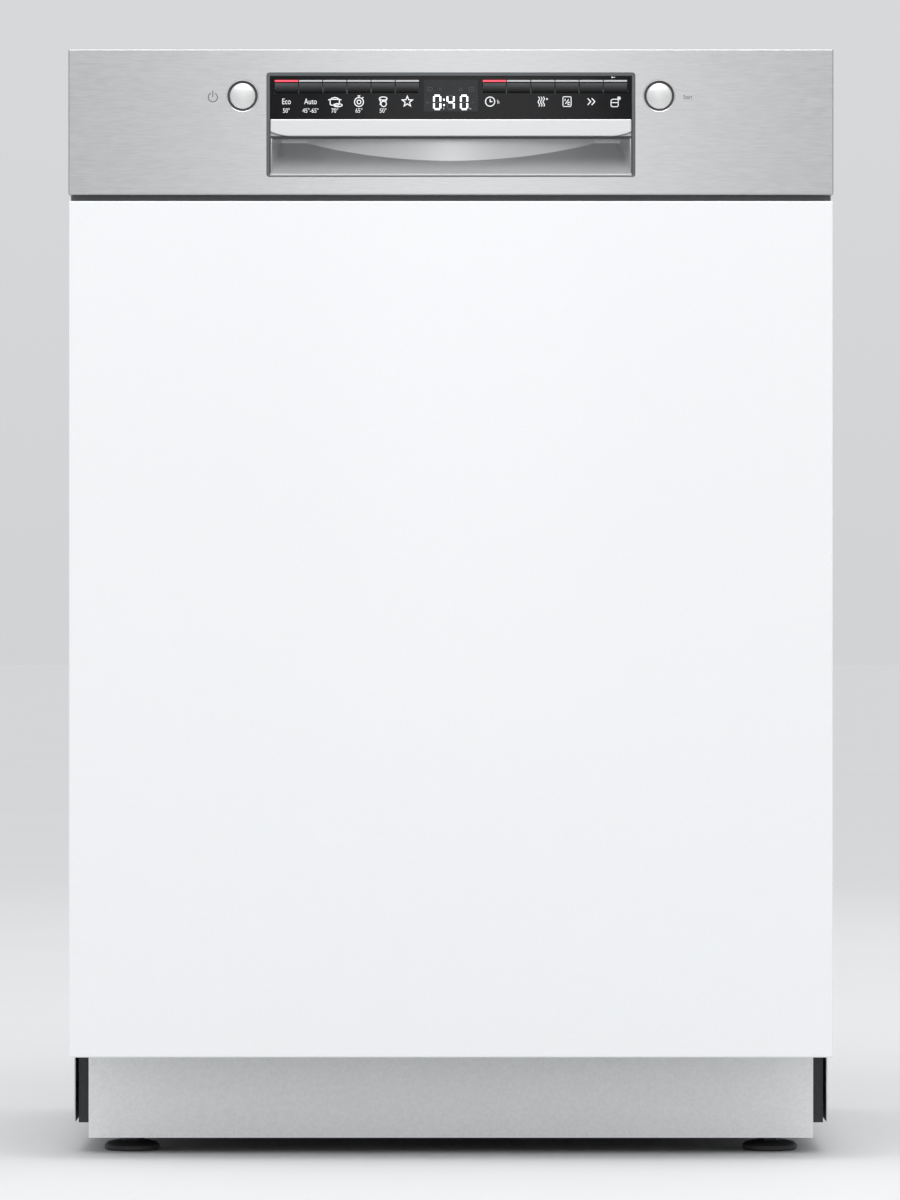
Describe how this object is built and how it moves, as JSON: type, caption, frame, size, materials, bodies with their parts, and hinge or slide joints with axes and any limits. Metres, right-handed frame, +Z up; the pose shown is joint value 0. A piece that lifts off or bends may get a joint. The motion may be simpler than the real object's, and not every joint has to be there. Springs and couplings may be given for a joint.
{
  "type": "built-in dishwasher",
  "caption": "Under-counter dishwasher with a brushed steel control fascia, a bar over a finger grip and a white furniture board on its drop-down door.",
  "frame": {"origin": "centre of the bounding box at floor level, under the levelling feet", "axes": "+Z up, the door's face towards -Y, +X to the right as seen from the front"},
  "size_m": [0.598, 0.5742, 0.875],
  "materials": {
    "brushed_fascia": "horizontally brushed stainless steel",
    "stainless": "satin drawn stainless steel",
    "galvanised": "matte galvanised steel sheet",
    "spring_steel": "oiled spring steel",
    "silver_trim": "bright satin silver plastic",
    "grip_grey": "satin metallic grey plastic",
    "black_gloss": "high gloss black",
    "dark_grey": "dark grey moulded plastic",
    "black_plastic": "black moulded plastic",
    "white_lacquer": "white satin lacquer on fibreboard",
    "white_plastic": "white moulded plastic",
    "grey_plastic": "grey moulded plastic",
    "coated_wire": "grey plastic-coated steel wire",
    "rubber": "matte black rubber",
    "fleece": "grey fleece",
    "pale_sheet": "pale satin coating"
  },
  "bodies": {
    "cabinet": {"tub": "stainless", "base_tray": "black_plastic", "side_panel_left": "galvanised", "side_panel_right": "galvanised", "rear_panel": "galvanised", "front_crossbar": "galvanised", "top_insulation": "fleece", "door_seal": "rubber", "toe_panel": "pale_sheet", "sump": "black_plastic", "circulation_pump": "grey_plastic", "drain_pump": "white_plastic", "inlet_valve": "white_plastic", "filter_plate": "stainless", "water_riser": "white_plastic", "ceiling_sprayer": "grey_plastic", "rail_left": "galvanised", "rail_right": "galvanised", "door_spring_left": "spring_steel", "door_spring_right": "spring_steel"},
    "door": {"door_liner": "stainless", "door_outer_panel": "galvanised", "furniture_front": "white_lacquer", "control_fascia": "brushed_fascia", "control_housing": "dark_grey", "key_panel": "black_gloss", "handle_bar": "silver_trim", "grip_cup": "grip_grey", "dispenser_body": "white_plastic", "door_latch": "black_plastic", "hinge_arm_left": "galvanised", "hinge_arm_right": "galvanised"},
    "rail_slides": {"rail_slide_left": "stainless", "rail_slide_right": "stainless"},
    "upper_rack_body": {"upper_rack": "coated_wire"},
    "upper_arm": {"upper_spray_arm": "grey_plastic"},
    "lower_rack_body": {"lower_rack": "coated_wire", "cutlery_basket": "grey_plastic"},
    "lower_arm": {"lower_spray_arm": "grey_plastic"},
    "filter": {"micro_filter": "grey_plastic"},
    "salt_lid": {"salt_cap": "grey_plastic"},
    "detergent_lid": {"dispenser_lid": "grey_plastic"},
    "rinse_lid": {"rinse_aid_cap": "grey_plastic"},
    "power": {"power_button": "silver_trim"},
    "start": {"start_button": "silver_trim"},
    "foot_left": {"foot_front_left": "black_plastic"},
    "foot_right": {"foot_front_right": "black_plastic"},
    "foot_back": {"foot_rear": "black_plastic"},
    "body_program_key_1": {"program_key_1": "black_gloss"},
    "body_program_key_2": {"program_key_2": "black_gloss"},
    "body_program_key_3": {"program_key_3": "black_gloss"},
    "body_program_key_4": {"program_key_4": "black_gloss"},
    "body_program_key_5": {"program_key_5": "black_gloss"},
    "body_program_key_6": {"program_key_6": "black_gloss"},
    "body_option_key_1": {"option_key_1": "black_gloss"},
    "body_option_key_2": {"option_key_2": "black_gloss"},
    "body_option_key_3": {"option_key_3": "black_gloss"},
    "body_option_key_4": {"option_key_4": "black_gloss"},
    "body_option_key_5": {"option_key_5": "black_gloss"},
    "body_option_key_6": {"option_key_6": "black_gloss"}
  },
  "joints": [
    {"name": "door_hinge", "type": "hinge", "parent": "cabinet", "child": "door", "pos_m": [0, -0.255, 0.122], "axis": [1, 0, 0], "range_deg": [0, 90], "stiffness_Nm_per_rad": 26, "deforming": ["door_spring_left", "door_spring_right"]},
    {"name": "rail_slides_run", "type": "slide", "parent": "cabinet", "child": "rail_slides", "axis": [0, -1, 0], "range_m": [0, 0.215]},
    {"name": "upper_rack_run", "type": "slide", "parent": "rail_slides", "child": "upper_rack_body", "axis": [0, -1, 0], "range_m": [0, 0.215]},
    {"name": "lower_rack_run", "type": "slide", "parent": "cabinet", "child": "lower_rack_body", "axis": [0, -1, 0], "range_m": [0, 0.12]},
    {"name": "upper_arm_spin", "type": "hinge", "parent": "upper_rack_body", "child": "upper_arm", "pos_m": [0, 0.01475, 0.461], "axis": [0, 0, 1], "continuous": true},
    {"name": "lower_arm_spin", "type": "hinge", "parent": "cabinet", "child": "lower_arm", "pos_m": [0, 0.01475, 0.1576], "axis": [0, 0, 1], "continuous": true},
    {"name": "micro_filter_twist", "type": "hinge", "parent": "cabinet", "child": "filter", "pos_m": [0.058, -0.056, 0.138], "axis": [0, 0, 1], "range_deg": [0, 90]},
    {"name": "salt_cap_turn", "type": "hinge", "parent": "cabinet", "child": "salt_lid", "pos_m": [-0.17, -0.07, 0.14], "axis": [0, 0, 1], "range_deg": [0, 270]},
    {"name": "dispenser_lid_slide", "type": "slide", "parent": "door", "child": "detergent_lid", "axis": [1, 0, 0], "range_m": [0, 0.062]},
    {"name": "rinse_aid_cap_flip", "type": "hinge", "parent": "door", "child": "rinse_lid", "pos_m": [0.0425, -0.2355, 0.569], "axis": [1, 0, 0], "range_deg": [0, 90]},
    {"name": "power_press", "type": "slide", "parent": "door", "child": "power", "axis": [0, 1, 0], "range_m": [0, 0.002], "stiffness_N_per_m": 600},
    {"name": "start_press", "type": "slide", "parent": "door", "child": "start", "axis": [0, 1, 0], "range_m": [0, 0.002], "stiffness_N_per_m": 600},
    {"name": "program_key_1_press", "type": "slide", "parent": "door", "child": "body_program_key_1", "axis": [0, 1, 0], "range_m": [0, 0.0012], "stiffness_N_per_m": 300},
    {"name": "program_key_2_press", "type": "slide", "parent": "door", "child": "body_program_key_2", "axis": [0, 1, 0], "range_m": [0, 0.0012], "stiffness_N_per_m": 300},
    {"name": "program_key_3_press", "type": "slide", "parent": "door", "child": "body_program_key_3", "axis": [0, 1, 0], "range_m": [0, 0.0012], "stiffness_N_per_m": 300},
    {"name": "program_key_4_press", "type": "slide", "parent": "door", "child": "body_program_key_4", "axis": [0, 1, 0], "range_m": [0, 0.0012], "stiffness_N_per_m": 300},
    {"name": "program_key_5_press", "type": "slide", "parent": "door", "child": "body_program_key_5", "axis": [0, 1, 0], "range_m": [0, 0.0012], "stiffness_N_per_m": 300},
    {"name": "program_key_6_press", "type": "slide", "parent": "door", "child": "body_program_key_6", "axis": [0, 1, 0], "range_m": [0, 0.0012], "stiffness_N_per_m": 300},
    {"name": "option_key_1_press", "type": "slide", "parent": "door", "child": "body_option_key_1", "axis": [0, 1, 0], "range_m": [0, 0.0012], "stiffness_N_per_m": 300},
    {"name": "option_key_2_press", "type": "slide", "parent": "door", "child": "body_option_key_2", "axis": [0, 1, 0], "range_m": [0, 0.0012], "stiffness_N_per_m": 300},
    {"name": "option_key_3_press", "type": "slide", "parent": "door", "child": "body_option_key_3", "axis": [0, 1, 0], "range_m": [0, 0.0012], "stiffness_N_per_m": 300},
    {"name": "option_key_4_press", "type": "slide", "parent": "door", "child": "body_option_key_4", "axis": [0, 1, 0], "range_m": [0, 0.0012], "stiffness_N_per_m": 300},
    {"name": "option_key_5_press", "type": "slide", "parent": "door", "child": "body_option_key_5", "axis": [0, 1, 0], "range_m": [0, 0.0012], "stiffness_N_per_m": 300},
    {"name": "option_key_6_press", "type": "slide", "parent": "door", "child": "body_option_key_6", "axis": [0, 1, 0], "range_m": [0, 0.0012], "stiffness_N_per_m": 300},
    {"name": "foot_front_left_level", "type": "slide", "parent": "cabinet", "child": "foot_left", "axis": [0, 0, 1], "range_m": [-0.045, 0.01]},
    {"name": "foot_front_right_level", "type": "slide", "parent": "cabinet", "child": "foot_right", "axis": [0, 0, 1], "range_m": [-0.045, 0.01]},
    {"name": "foot_rear_level", "type": "slide", "parent": "cabinet", "child": "foot_back", "axis": [0, 0, 1], "range_m": [-0.045, 0.01]}
  ],
  "couplings": [
    {"joint": "rail_slides_run", "follows": "door_hinge", "m_per_rad": 0.1368},
    {"joint": "upper_rack_run", "follows": "door_hinge", "m_per_rad": 0.1368},
    {"joint": "lower_rack_run", "follows": "door_hinge", "m_per_rad": 0.0763}
  ]
}
